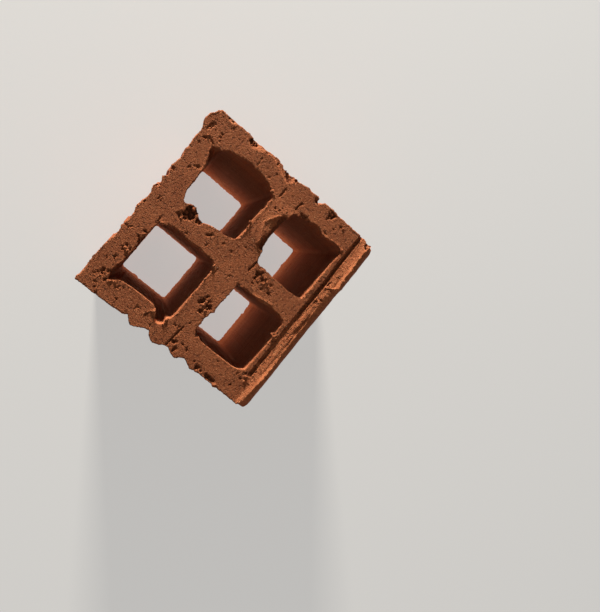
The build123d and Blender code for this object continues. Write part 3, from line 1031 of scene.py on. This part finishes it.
# %% Crumbs
# x, y, radius and the height of their top over the cut face; a minus means that it lies in a hole
CRUMBS = [
    (-6.3, 30.1, 0.8, 0.4), (-5.3, 29.6, 0.8, 0.3), (-5.7, 16.1, 0.8, 0.8), (-5.4, 13.9, 0.6, 0.7),
    (-5.4, -5.4, 0.8, 0.5), (-4.9, -11.1, 0.6, 0.5), (29.2, -11.5, 2.4, 0.5), (9.4, 4.9, 0.7, 0.4),
    (23.4, -39.4, 0.9, 0.5), (2.7, 27.8, 0.5, 0.4), (3.7, 27.6, 0.4, 0.4), (4.8, 28.3, 0.6, 0.4),
    (-27.3, 3.0, 0.5, 0.3), (-25.4, 0.5, 0.5, 0.3), (28.6, 31.0, 0.7, 0.4), (23.7, 37.6, 0.5, 0.35),
    (-29.2, -5.2, 0.8, 0.3), (-5.9, -31.4, 0.6, 0.5), (-5.8, -33.0, 0.6, 0.5), (-30.6, -33.4, 0.7, 0.4),
    (-28.6, -32.2, 0.8, 0.3), (30.9, -29.9, 0.6, 0.5), (31.6, -31.4, 0.6, 0.5), (-37.0, 29.9, 0.5, 0.3),
    (14.2, 2.8, 0.6, 0.4), (7.6, -4.8, 0.6, 0.4), (-23.9, 6.0, 0.8, 0.3), (-23.6, 6.9, 0.5, 0.3),
    (-25.1, 3.7, 0.8, -0.9), (-24.1, 2.4, 0.6, -0.7), (-24.9, 1.9, 0.5, -0.6), (-23.3, 1.9, 0.5, -0.6),
    (-23.1, 4.2, 0.6, -1.2), (-22.5, 5.8, 0.4, -0.5), (-25.4, 5.2, 0.4, -0.8), (-21.4, 4.6, 0.5, 0.1),
    (-23.0, 39.2, 0.7, -1.4), (-21.9, 39.2, 0.5, -1.2), (16.9, 38.9, 0.7, -0.2), (15.7, 39.3, 0.5, 0.0),
    (-19.8, 3.5, 0.5, -0.6), (-33.2, -31.7, 0.7, 0.1), (-32.4, -32.6, 0.5, 0.0), (-34.0, -33.4, 0.6, 0.2),
    (-33.6, -20.4, 0.6, 0.3), (-32.4, -21.0, 0.7, 0.2), (2.8, -18.8, 0.5, 0.1), (1.3, -17.4, 0.5, 0.3),
    (0.9, -18.9, 0.4, 0.2), (3.0, -20.1, 0.5, 0.3), (-31.8, -12.8, 0.6, 0.2), (-32.8, -13.4, 0.4, 0.2),
    (8.8, 30.8, 0.5, -0.2), (10.4, 30.9, 0.5, -0.1), (12.6, 3.8, 0.6, 0.3), (13.4, 1.7, 0.6, 0.3),
    (15.4, 1.9, 0.5, 0.3), (11.2, 1.3, 0.5, 0.2), (2.6, 22.0, 0.4, 0.1), (2.7, 19.0, 0.4, 0.0),
]


def add_crumbs(x, y, relief):
    """The relief with round crumbs lying on it, each up to the height of its top."""
    for cx, cy, radius, top in CRUMBS:
        near = np.hypot(x - cx, y - cy) < radius * 1.3
        bumpy = radius * (1 + 0.25 * clay_noise(x[near], y[near], top, 0.8, 2))
        dome = np.sqrt(np.clip(bumpy**2 - (x[near] - cx) ** 2 - (y[near] - cy) ** 2, 0, None))
        relief[near] = np.where(dome > 0, np.maximum(relief[near], top - radius + dome), relief[near])
    return relief


print(len(CRUMBS), "crumbs")

# %% Add the layers up
# strengths of the noise that is everywhere, from the widest lumps to the finest
WAVE = 0.09
LUMP = 0.01
SAND = 0.026


def near_relief(x, y, to_rim):
    """Height of the photographed cut face above its plane, and how hollow it is."""
    rough = roughness_at(x, y)
    raised = np.maximum(ridge_relief(x, y), burr_relief(x, y, to_rim))
    relief = scoop_relief(x, y) + facet_relief(x, y) + split_skin(x, y) + flap_relief(x, y)
    relief += raised + WAVE * clay_noise(x, y, 0.0, 12.0, 2)
    relief += LUMP * rough * clay_noise(x, y, 7.0, 2.4, 3, calm=0.7)
    relief += SAND * rough**0.5 * clay_noise(x, y, 11.0, 1.1, 2, calm=0.3)
    layers = [pit_depth(x, y), crack_depth(x, y), hole_depth(x, y), flap_fall(x, y)]
    whole = relief - rounding(to_rim, rim_radius(x, y))
    torn = add_crumbs(x, y, whole - np.maximum.reduce(layers))
    return torn, np.clip(whole - torn, 0, None)


def far_relief(x, y, to_rim):
    """The hidden end: the same unevenness and small pits, with nothing that stands out."""
    relief = WAVE * clay_noise(x, y, 50.0, 13.0, 2) + LUMP * clay_noise(x, y, 57.0, 2.6, 3)
    specks = clay_noise(x, y, 61.0, 1.6, 2)
    hollow = 1.2 * soft_step((specks - 0.42) * 5)
    radius = RIM_ROUND * (1 + 0.6 * clay_noise(x, y, 70.0, 4.0, 2))
    return relief * 0.6 - hollow - rounding(to_rim, radius) - WAVE, hollow


web_x = np.linspace(-30, 30, 7)
web_heights, _ = near_relief(web_x, np.zeros_like(web_x), np.ones_like(web_x))
print("heights along the web", np.round(web_heights, 2))

# %% [markdown]
# ## Points for the cut face
#
# The face needs small triangles where something happens and may have larger ones elsewhere.
# So points are laid out on two grids of triangles, a coarse and a fine one, and a detail test
# chooses between them. A Delaunay triangulation then joins all points, with the five rims as
# fixed edges. The other way, a remesh with voxels, would need the fine size everywhere.

# %% Grids of points
# how far a grid reaches past the brick, and how far a point is nudged, as a share of the spacing
GRID_MARGIN = 3
NUDGE = 0.18


def triangle_grid(spacing, reach, seed):
    """Rows of points on a triangular grid, each nudged a little so that no rows show."""
    row = spacing * math.sqrt(3) / 2
    count = int(2 * reach / row)
    columns = int(2 * reach / spacing)
    j, i = np.mgrid[0:count, 0:columns]
    grid = np.stack([i * spacing + (j % 2) * spacing / 2, j * row], axis=-1).reshape(-1, 2) - reach
    nudge = np.random.default_rng(seed).uniform(-1, 1, grid.shape)
    return grid + nudge * spacing * NUDGE


def in_clay(points, rims):
    """Inside the skin and in none of the cells."""
    kept = inside(points, rims["skin"])
    for name in cells:
        kept &= ~inside(points, rims[name])
    return kept


def rim_distance(points, rims):
    """Distance of each point from the nearest place, or the middle between two, on a rim."""
    samples = []
    for rim in rims.values():
        samples += [rim, (rim + np.roll(rim, -1, 0)) / 2]
    samples = np.concatenate(samples)
    tree = kdtree.KDTree(len(samples))
    for index, (x, y) in enumerate(samples):
        tree.insert((x, y, 0), index)
    tree.balance()
    return np.array([tree.find((x, y, 0))[2] for x, y in points])


def clay_grid(spacing, rims, seed):
    """The points of a grid that lie in the clay, and how far each is from a rim."""
    grid = triangle_grid(spacing, HALF + GRID_MARGIN, seed)
    grid = grid[in_clay(grid, rims)]
    return grid, rim_distance(grid, rims)


# the far end needs no fine points
FAR_SPACING = 1.0
far, far_to_rim = clay_grid(FAR_SPACING, bottom_rims, seed=3)
far_inner = far[far_to_rim > FAR_SPACING * 0.4]
print("points on the far end", len(far_inner))

# %% Choose between coarse and fine
COARSE = 0.44
FINE = 0.24
# a point wants detail this near to a rim, and where something is deeper than this
FINE_BAND = 0.7
DETAIL_DEPTH = 0.02


def wants_detail(x, y, to_rim):
    """True near rims, pits, holes, cracks, crumbs, the flap and the split skin."""
    close = to_rim < FINE_BAND
    close |= (np.abs(x - CREASE_X) < 1.2) & (y > -29)
    close |= (x > LIP_START) & (np.abs(past_fold(x, y)) < 1.0)
    along_flap = (y > FLAP_Y[0]) & (y < FLAP_Y[-1])
    close |= (np.abs(x - np.interp(y, FLAP_Y, FLAP_X)) < 0.9) & along_flap
    for cx, cy, radius, _ in PITS + CRUMBS:
        close |= np.hypot(x - cx, y - cy) < radius * 1.5
    return close | (crack_depth(x, y) > DETAIL_DEPTH) | (hole_depth(x, y) > DETAIL_DEPTH)


coarse, coarse_to_rim = clay_grid(COARSE, top_rims, seed=1)
fine, fine_to_rim = clay_grid(FINE, top_rims, seed=2)
coarse = coarse[~wants_detail(*coarse.T, coarse_to_rim)]
fine = fine[wants_detail(*fine.T, fine_to_rim) & (fine_to_rim > FINE * 0.6)]
near_inner = np.concatenate([coarse, fine])
print("points on the cut face", len(coarse), "coarse and", len(fine), "fine")

# %% Triangulate a face
# points nearer than this would be joined, which only a rim that crosses itself brings about
SAME_PLACE = 1e-7


def triangulate(rims, inner):
    """Points of the five rims, then the inner ones, and the triangles that join them."""
    points = np.concatenate([*rims.values(), inner])
    edges = []
    start = 0
    for rim in rims.values():
        ring = np.arange(start, start + len(rim))
        edges.extend(zip(ring.tolist(), np.roll(ring, -1).tolist()))
        start += len(rim)
    result = geometry.delaunay_2d_cdt([Vector(p) for p in points], edges, [], 0, SAME_PLACE)
    if len(result[0]) != len(points):
        raise RuntimeError("a rim crosses itself")
    source = np.array([origin[0] for origin in result[3]])
    triangles = source[np.array(result[2])]
    middles = points[triangles].mean(axis=1)
    return points, triangles[in_clay(middles, rims)]


near_points, near_triangles = triangulate(top_rims, near_inner)
far_points, far_triangles = triangulate(bottom_rims, far_inner)
print("triangles", len(near_triangles), "and", len(far_triangles))

# %% Heights of both faces
near_height, near_hollow = near_relief(*near_points.T, rim_distance(near_points, top_rims))
far_height, far_hollow = far_relief(*far_points.T, rim_distance(far_points, bottom_rims))
near_z = LENGTH + near_height
far_z = np.clip(-far_height, 0, None)
print("the cut face lies between", round(near_z.min(), 1), "and", round(near_z.max(), 1), "mm")

# %% [markdown]
# ## The walls
#
# Between the two faces run the grooved skin and the four cells, each a tube of rings. Rings lie
# close together near the ends, where the tears are, and far apart in the middle, where a
# straight extrusion has only drag lines along its length. The first and last ring of a tube
# are the rims of the two faces, so that the whole brick is one closed mesh.
#
# Each point also gets four numbers, the masks, which tell the finish later where it is: `cut`
# is 1 on the torn faces, `hollow` is a depth in a pit, `bore` is 1 in the cells, and `side`
# grows to 1 on the skin that the die pressed.

# %% Masks
# where the crest of the lip starts, and how much of a skin it has, which also paints it paler as a
# highlight
LIP_CREST_X = 34.8
LIP_SKIN_AND_HIGHLIGHT = 0.8
# depths in which the look of the cut face fades and that of the skin sets in
CUT_REACH = 0.5
SIDE_REACH = 1.5


def face_masks():
    """The masks on both faces. The crest of the lip counts mostly as skin rather than torn clay, which
    also paints it paler as a highlight.
    """
    on_crest = soft_step((near_points[:, 0] - LIP_CREST_X) / 0.7)
    cut = np.concatenate([1 - LIP_SKIN_AND_HIGHLIGHT * on_crest, np.ones(len(far_points))])
    hollow = np.concatenate([near_hollow, far_hollow])
    return {"cut": cut, "hollow": hollow, "bore": np.zeros_like(cut), "side": np.zeros_like(cut)}


def wall_masks(name, depth):
    """The masks on one ring of a wall."""
    on_skin = name == "skin"
    return {
        "cut": math.exp(-depth / CUT_REACH),
        "hollow": 0.0,
        "bore": 0.0 if on_skin else 1.0,
        "side": 1 - math.exp(-depth / SIDE_REACH) if on_skin else 0.0,
    }


print("masks 1 mm down the skin", wall_masks("skin", 1))

# %% Faces and walls in one mesh
DEPTHS = [0.35, 0.8, 1.4, 2.2, 3.2, 4.3, 5.5, 6.8, 8.6, 11.5, 16.0, 23.0, 32.0, 43.0, 55.0]
DEPTHS += [66.0, 75.0, 81.0, 85.0, 87.3, 88.6, 89.4]
# the sag of a rim is gone after a few times this depth, and a deep sag takes longer
SETTLE = 1.5
SETTLE_SHARE = 1.3


def settled(sag, depth):
    """How much of a rim's sag is left in the wall at a depth below that rim."""
    return sag * np.exp(-depth / (SETTLE + SETTLE_SHARE * np.abs(sag)))


def build_brick():
    """Vertices, faces and the four masks of the whole brick."""
    vertices = [np.column_stack([near_points, near_z]), np.column_stack([far_points, far_z])]
    masks = {mask: [values] for mask, values in face_masks().items()}
    offset = len(near_points)
    faces = near_triangles.tolist() + (far_triangles[:, ::-1] + offset).tolist()
    count = offset + len(far_points)
    start = 0
    for name, loop in loops.items():
        size = len(loop[0])
        rim = start + np.arange(size)
        rings = [rim]
        for depth in DEPTHS:
            height = LENGTH - depth
            z = height + settled(near_z[rim] - LENGTH, depth) + settled(far_z[rim], height)
            vertices.append(np.column_stack([wall_ring(name, loop, depth), z]))
            for mask, value in wall_masks(name, depth).items():
                masks[mask].append(np.full(size, value))
            rings.append(count + np.arange(size))
            count += size
        rings.append(offset + rim)
        for upper, lower in zip(rings, rings[1:]):
            quads = np.stack([upper, lower, np.roll(lower, -1), np.roll(upper, -1)], axis=1)
            faces.extend(quads.tolist() if name == "skin" else quads[:, ::-1].tolist())
        start += size
    masks = {mask: np.concatenate(parts) for mask, parts in masks.items()}
    return np.concatenate(vertices), faces, masks


vertices, faces, masks = build_brick()
print("vertices", len(vertices), "and faces", len(faces))

# %% [markdown]
# ## From numbers to a Blender object
#
# All faces are smooth, so that the shading does not show the triangles. At the near rims that
# would go wrong: the face is level, the wall is upright, and a normal between the two paints a
# bright line along every rim. So the edges of those rims are marked sharp.

# %% The brick
mesh = bpy.data.meshes.new("torn_clay")
mesh.from_pydata((vertices * MM).tolist(), [], faces)
for attribute, values in masks.items():
    layer = mesh.attributes.new(attribute, "FLOAT", "POINT")
    layer.data.foreach_set("value", values.astype(np.float32))
mesh.polygons.foreach_set("use_smooth", [True] * len(mesh.polygons))
# the points of the near rims come first, so they have the lowest numbers
rim_count = sum(len(rim) for rim in top_rims.values())
mesh.edges.foreach_set("use_edge_sharp", [max(edge.vertices) < rim_count for edge in mesh.edges])
mesh.update()
brick = bpy.data.objects.new("torn_clay_brick", mesh)
bpy.context.collection.objects.link(brick)
mesh.calc_loop_triangles()
print("triangles in the brick", len(mesh.loop_triangles))

# %% [markdown]
# ## Wiring a finish in Python
#
# Node trees are easier to read as sums than as wires. The class below wraps an output socket, so
# that `1 - mask` or `grain * 0.3` adds its Math node, and `add` makes any other node from its
# type, its settings and the values or wires of its sockets.

# %% Wires
class Wire:
    """An output socket that Python can calculate with."""

    def __init__(self, finish, socket):
        self.finish = finish
        self.socket = socket

    def math(self, operation, first, second):
        settings = {"operation": operation}
        return self.finish.add("ShaderNodeMath", settings, {0: first, 1: second})

    def __add__(self, other):
        return self.math("ADD", self, other)

    def __sub__(self, other):
        return self.math("SUBTRACT", self, other)

    def __rsub__(self, other):
        return self.math("SUBTRACT", other, self)

    def __mul__(self, other):
        return self.math("MULTIPLY", self, other)

    __radd__ = __add__
    __rmul__ = __mul__


class Finish:
    """One material and its node tree."""

    def __init__(self, name):
        self.material = bpy.data.materials.new(name)
        self.material.use_nodes = True
        self.tree = self.material.node_tree
        self.tree.nodes.clear()

    def add(self, kind, settings=None, sockets=None, output=0):
        """A node of one kind: settings first, then the values or wires of its sockets."""
        node = self.tree.nodes.new(kind)
        for key, value in (settings or {}).items():
            setattr(node, key, value)
        for key, value in (sockets or {}).items():
            if isinstance(value, Wire):
                self.tree.links.new(value.socket, node.inputs[key])
            else:
                node.inputs[key].default_value = value
        return Wire(self, node.outputs[output]) if node.outputs else None

    def place(self):
        """Where each point is, in the object's own coordinates."""
        return self.add("ShaderNodeTexCoord", output="Object")

    def mask(self, name):
        """One of the numbers that the mesh carries."""
        return self.add("ShaderNodeAttribute", {"attribute_name": name}, output="Fac")

    def blend(self, share, first, second):
        """A colour between two, by a share from 0 to 1."""
        sockets = {"Factor": share, "A": first, "B": second}
        return self.add("ShaderNodeMix", {"data_type": "RGBA"}, sockets, output=2)

    def mix(self, share, first, second):
        """One shader through another, by a share from 0 to 1."""
        return self.add("ShaderNodeMixShader", sockets={0: share, 1: first, 2: second})

    def ramp(self, value, low, high):
        """0 below low, 1 above high."""
        sockets = {"Value": value, "From Min": low, "From Max": high}
        return self.add("ShaderNodeMapRange", {"interpolation_type": "SMOOTHSTEP"}, sockets)


print("wires ready")

# %% [markdown]
# ## Fired clay
#
# Terracotta is matt all over. Its colour drifts in patches and carries pale and dark grains of
# sand, partly real and partly painted light and painted shade of the grain. Pits are painted
# darker by their depth, as shade. The torn face shows the most grain. The skin that the die
# pressed is painted redder and darker, partly its own colour and partly painted shade that holds
# back the low key lamp on the sides, and it hides its sand. The walls of the cells and the crest
# of the lip are painted paler, partly as pressed skin and partly as painted light, and the walls
# have faint bands across them, left by the jerks of the clay in the die. The four masks of the
# mesh say which is which. Grains too small for the mesh are bump.

# %% Colours of the clay
def colour(red, green, blue):
    """A colour written in the 0 to 255 values of a picture, for a shader."""
    levels = []
    for level in (red, green, blue):
        share = level / 255
        levels.append(share / 12.92 if share <= 0.04045 else ((share + 0.055) / 1.055) ** 2.4)
    return (*levels, 1.0)


CLAY = colour(172, 98, 60)
CLAY_DEEP = colour(158, 87, 52)
# partly painted light: pale clay for random mottling, and for the paler walls and lip crest
PALE_CLAY_AND_LIGHT = colour(188, 112, 71)
# partly painted shade: the pressed skin's darker red, which also holds back the low key lamp
SKIN_CLAY_AND_SHADE = colour(148, 77, 45)
# painted shade: the colour that darkens pits by their depth
PIT_SHADE = colour(84, 43, 25)
# dark specks, and dark grains that are partly painted as the grain's shade
DARK_SPECK_AND_GRAIN_SHADE = colour(88, 46, 28)
# pale grains, partly painted as the light on the grain's tops
PALE_SPECK_AND_GRAIN_LIGHT = colour(208, 144, 100)
print("clay for the shader", [round(level, 3) for level in CLAY[:3]])

# %% Clay finish
MATT = 0.92
FAINT_SHINE = 0.25
# metres, as all that Blender gets
GRAIN_HEIGHT = 0.0004
# bands lie across the height of a cell, streaks run along it
BAND_SQUEEZE = (0.12, 0.12, 1.0)
STREAK_SQUEEZE = (1.0, 1.0, 0.02)


def clay_finish():
    """Matt fired clay with sand in it."""
    clay = Finish("fired_clay")
    place = clay.place()
    cut, hollow, bore, side = map(clay.mask, ("cut", "hollow", "bore", "side"))

    def grains(scale, detail, rough=0.6, squeeze=None):
        """Noise all through the clay, drawn out along an axis where squeeze is small."""
        where = place
        if squeeze:
            where = clay.add("ShaderNodeMapping", sockets={"Vector": place, "Scale": squeeze})
        sockets = {"Vector": where, "Scale": scale, "Detail": detail, "Roughness": rough}
        return clay.add("ShaderNodeTexNoise", sockets=sockets)

    patches = clay.ramp(grains(55.0, 3.0), 0.32, 0.68)
    mottling = clay.ramp(grains(260.0, 4.0), 0.35, 0.7)
    sand = grains(1500.0, 3.0, 0.7)
    specks = grains(900.0, 1.0, 0.4)
    body = clay.blend(patches, CLAY_DEEP, CLAY)
    body = clay.blend(mottling * 0.35, body, PALE_CLAY_AND_LIGHT)
    # partly painted light: walls and the lip's crest turn paler, partly as pressed skin, partly as a
    # painted highlight on the crest and lifted shade down the cells
    body = clay.blend((1 - cut) * 0.4 + bore * 0.2, body, PALE_CLAY_AND_LIGHT)
    # partly painted shade: the pressed skin is darker and redder, partly its own colour and partly shade
    # that holds back the low key lamp on the sides
    body = clay.blend(side * 0.9, body, SKIN_CLAY_AND_SHADE)
    bands = grains(420.0, 4.0, 0.65, squeeze=BAND_SQUEEZE)
    body = clay.blend(clay.ramp(bands, 0.4, 0.6) * bore * 0.45, body, CLAY_DEEP)
    # partly painted light and shade: the sand grains are real, and their contrast is raised to stand in
    # for the small shadows and lit tops of the grain
    body = clay.blend(clay.ramp(sand, 0.53, 0.66) * (0.55 - side * 0.4), body, PALE_SPECK_AND_GRAIN_LIGHT)
    body = clay.blend(clay.ramp(1 - sand, 0.55, 0.68) * (cut * 0.4 + 0.1), body, DARK_SPECK_AND_GRAIN_SHADE)
    body = clay.blend(clay.ramp(1 - specks, 0.67, 0.73) * (cut * 0.6 + 0.15), body, DARK_SPECK_AND_GRAIN_SHADE)
    # painted shade: pits are darkened by how deep they are
    body = clay.blend(clay.ramp(hollow, 0.1, 1.6) * 0.45, body, PIT_SHADE)

    streaks = grains(900.0, 3.0, 0.6, squeeze=STREAK_SQUEEZE)
    torn = grains(2000.0, 3.0, 0.7) * 1.6 + grains(1300.0, 2.0, 0.6) * 0.8
    torn = torn - clay.ramp(1 - specks, 0.6, 0.68) * 1.3
    relief = torn * (cut * 0.85 + 0.15) + streaks * (1 - cut) * 0.5 + bands * bore * 2.5
    sockets = {"Strength": 1.0, "Distance": GRAIN_HEIGHT, "Height": relief}
    bump = clay.add("ShaderNodeBump", sockets=sockets)
    sockets = {"Base Color": body, "Roughness": MATT, "Specular IOR Level": FAINT_SHINE, "Normal": bump}
    surface = clay.add("ShaderNodeBsdfPrincipled", sockets=sockets)
    clay.add("ShaderNodeOutputMaterial", sockets={"Surface": surface})
    return clay.material


mesh.materials.append(clay_finish())
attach(brick, "root")
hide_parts("clay_brick")
print("finish", mesh.materials[0].name)

# %% [markdown]
# ## Floor and light
#
# The cells are deep and would look blind, so the floor right under the brick glows warmly up
# into them, as sunlit clay would. A glowing floor everywhere would light the brick's sides from
# below, so the glow ends at the brick's outline. The camera itself sees a pale floor, a little
# brighter than it is lit.

# %% Floor
# half the width of the floor, in metres
FLOOR_SIZE = 6.0
FLOOR_PALE = (0.78, 0.77, 0.75, 1)
# the glow that the brick gets and the one that the camera sees, with their strengths
GLOW_WARM = {"Color": (1.0, 0.68, 0.47, 1), "Strength": 1.35}
GLOW_SEEN = {"Color": (0.9, 0.89, 0.87, 1), "Strength": 0.85}
# the glow is full up to here and gone there, in metres from the middle of the brick
GLOW_FULL = 0.038
GLOW_END = 0.044
# how much of what the camera sees of the floor is glow
SEEN_SHARE = 0.6


def floor_finish():
    """Pale floor that glows a little for the camera, and up into the cells."""
    pale = Finish("pale_floor")
    seen = pale.add("ShaderNodeLightPath", output="Is Camera Ray")
    sockets = {"Base Color": FLOOR_PALE, "Roughness": 0.9, "Specular IOR Level": 0.1}
    matt = pale.add("ShaderNodeBsdfPrincipled", sockets=sockets)
    bounced = pale.add("ShaderNodeEmission", sockets=GLOW_WARM)
    viewed = pale.add("ShaderNodeEmission", sockets=GLOW_SEEN)
    away = pale.add("ShaderNodeVectorMath", {"operation": "LENGTH"}, {0: pale.place()}, output="Value")
    under = 1 - pale.ramp(away, GLOW_FULL, GLOW_END)
    share = under + seen * (SEEN_SHARE - under)
    surface = pale.mix(share, matt, pale.mix(seen, bounced, viewed))
    pale.add("ShaderNodeOutputMaterial", sockets={"Surface": surface})
    return pale.material


floor_mesh = bpy.data.meshes.new("floor")
corners = [(sx * FLOOR_SIZE, sy * FLOOR_SIZE, 0) for sx, sy in ((-1, -1), (1, -1), (1, 1), (-1, 1))]
floor_mesh.from_pydata(corners, [], [(0, 1, 2, 3)])
floor_mesh.materials.append(floor_finish())
floor = bpy.data.objects.new("floor", floor_mesh)
bpy.context.collection.objects.link(floor)
print("floor", FLOOR_SIZE * 2, "m square")

# %% [markdown]
# ## Three lamps
#
# The key lamp stands low and comes from the top of the picture, so it rakes over the cut face
# and every smear and pit throws a small shadow. Because it is low, it also lights two sides of
# the brick. A weak one opposite has the colour of light that came back from other clay and keeps
# the rims that face away from going black. The third comes from above and opens the shadows a
# little, and a weak sky fills the rest.

# %% Lights
# levels say how brightly a lamp lights white paper; distances and sizes are metres
KEY_LEVEL = 2.62
KEY_DISTANCE = 1.2
KEY_HEIGHT_ANGLE = math.radians(9)
KEY_SIZE = 0.15
SIDE_LEVEL = 0.12
SIDE_HEIGHT_ANGLE = math.radians(4)
TOP_LEVEL = 0.115
TOP_HEIGHT_ANGLE = math.radians(80)
TOP_AZIMUTH = math.radians(250)
FILL_DISTANCE = 1.0
FILL_SIZE = 0.3
SUNLIGHT = (1.0, 0.95, 0.86)
CLAY_BOUNCE = (1.0, 0.74, 0.55)


def power_for(level, distance):
    """Watts of a small lamp that lights white paper facing it to a level; 1 is full white."""
    return level * (math.pi * distance) ** 2


def area_light(name, azimuth, elevation, level, distance=FILL_DISTANCE, size=FILL_SIZE, tint=SUNLIGHT):
    """A square lamp that faces the middle of the brick."""
    data = bpy.data.lights.new(name, "AREA")
    data.energy = power_for(level, distance)
    data.size = size
    data.color = tint
    lamp = bpy.data.objects.new(name, data)
    flat = math.cos(elevation)
    way = Vector((flat * math.cos(azimuth), flat * math.sin(azimuth), math.sin(elevation)))
    lamp.location = way * distance + Vector((0, 0, LENGTH / 2 * MM))
    lamp.rotation_euler = way.to_track_quat("Z", "Y").to_euler()
    lamp.visible_camera = False
    bpy.context.collection.objects.link(lamp)
    return lamp


key = area_light("raking_key", PICTURE_UP, KEY_HEIGHT_ANGLE, KEY_LEVEL, KEY_DISTANCE, KEY_SIZE)
area_light("side_fill", PICTURE_UP + math.pi, SIDE_HEIGHT_ANGLE, SIDE_LEVEL, tint=CLAY_BOUNCE)
area_light("top_fill", TOP_AZIMUTH, TOP_HEIGHT_ANGLE, TOP_LEVEL)
print("key", round(key.data.energy, 1), "W")

# %% Sky
SKY_COLOUR = (1.0, 0.98, 0.96, 1)
SKY_LEVEL = 0.08
world = bpy.data.worlds.new("soft_sky")
bpy.context.scene.world = world
world.use_nodes = True
background = world.node_tree.nodes["Background"]
background.inputs["Color"].default_value = SKY_COLOUR
background.inputs["Strength"].default_value = SKY_LEVEL
bpy.context.scene.view_settings.view_transform = "Standard"
print("sky", SKY_LEVEL)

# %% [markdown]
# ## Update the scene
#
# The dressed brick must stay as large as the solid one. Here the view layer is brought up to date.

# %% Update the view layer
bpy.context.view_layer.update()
